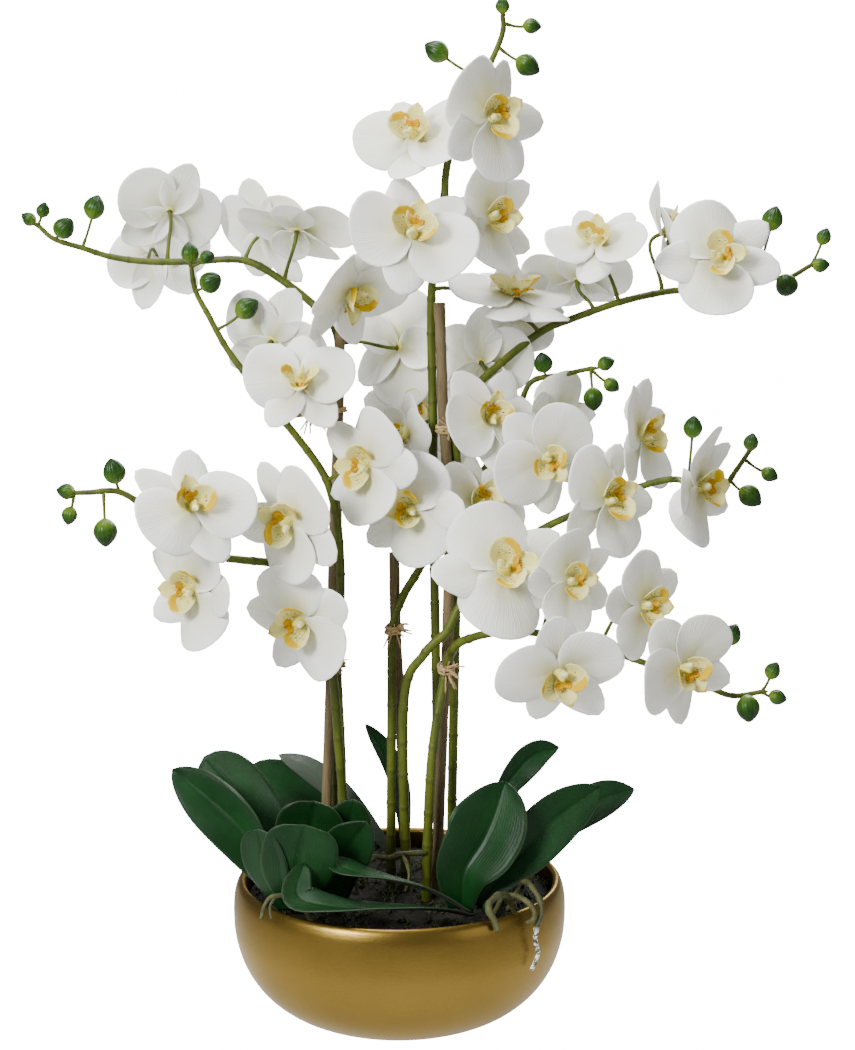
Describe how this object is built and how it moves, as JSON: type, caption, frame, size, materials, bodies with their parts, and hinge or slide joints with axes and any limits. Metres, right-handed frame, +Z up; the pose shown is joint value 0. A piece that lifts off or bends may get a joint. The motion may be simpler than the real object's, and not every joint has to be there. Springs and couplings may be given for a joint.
{
  "type": "potted orchid",
  "caption": "Low round gold bowl of dark soil holding tall arching stems of white five-petalled orchid flowers and green buds, tied to stakes above broad strap leaves.",
  "frame": {"origin": "centre of the bowl's flat base", "axes": "+Z up along the stems, -Y toward the front of the arrangement"},
  "size_m": [0.6483, 0.2946, 0.8039],
  "materials": {
    "gold_bowl": "satin metallic gold",
    "soil": "rough dark soil and moss",
    "stake_wood": "dry matt bark",
    "stem_green": "satin olive green",
    "leaf_green": "soft sheen, creased and veined",
    "root": "dull olive brown",
    "raffia": "dry straw",
    "petal_white": "matt white with fine raised veins"
  },
  "bodies": {
    "root": {"bowl": "gold_bowl", "soil": "soil", "stake_left": "stake_wood", "stake_right": "stake_wood", "stake_middle": "stake_wood", "spike_a": "stem_green", "spike_b": "stem_green", "spike_c": "stem_green", "spike_d": "stem_green", "spike_e": "stem_green", "spike_f": "stem_green", "spike_g": "stem_green", "spike_h": "stem_green", "leaves_left": "leaf_green", "leaves_back": "leaf_green", "leaves_right": "leaf_green", "leaves_front": "leaf_green", "root_right": "root", "root_middle": "root", "tie_1": "raffia", "tie_2": "raffia", "tie_3": "raffia", "tie_4": "raffia", "flower_a1": "petal_white", "flower_a2": "petal_white", "flower_a3": "petal_white", "flower_a4": "petal_white", "flower_b6": "petal_white", "flower_b1": "petal_white", "flower_b2": "petal_white", "flower_b3": "petal_white", "flower_b4": "petal_white", "flower_b5": "petal_white", "flower_c1": "petal_white", "flower_c2": "petal_white", "flower_c3": "petal_white", "flower_d1": "petal_white", "flower_d2": "petal_white", "flower_d3": "petal_white", "flower_d4": "petal_white", "flower_e1": "petal_white", "flower_e2": "petal_white", "flower_e3": "petal_white", "flower_e4": "petal_white", "flower_e5": "petal_white", "flower_e6": "petal_white", "flower_f1": "petal_white", "flower_f2": "petal_white", "flower_f3": "petal_white", "flower_f4": "petal_white", "flower_g1": "petal_white", "flower_g2": "petal_white", "flower_g3": "petal_white", "flower_h1": "petal_white", "flower_h2": "petal_white", "flower_h3": "petal_white", "flower_h4": "petal_white", "flower_h5": "petal_white", "flower_m1": "petal_white", "flower_m2": "petal_white"}
  },
  "joints": []
}
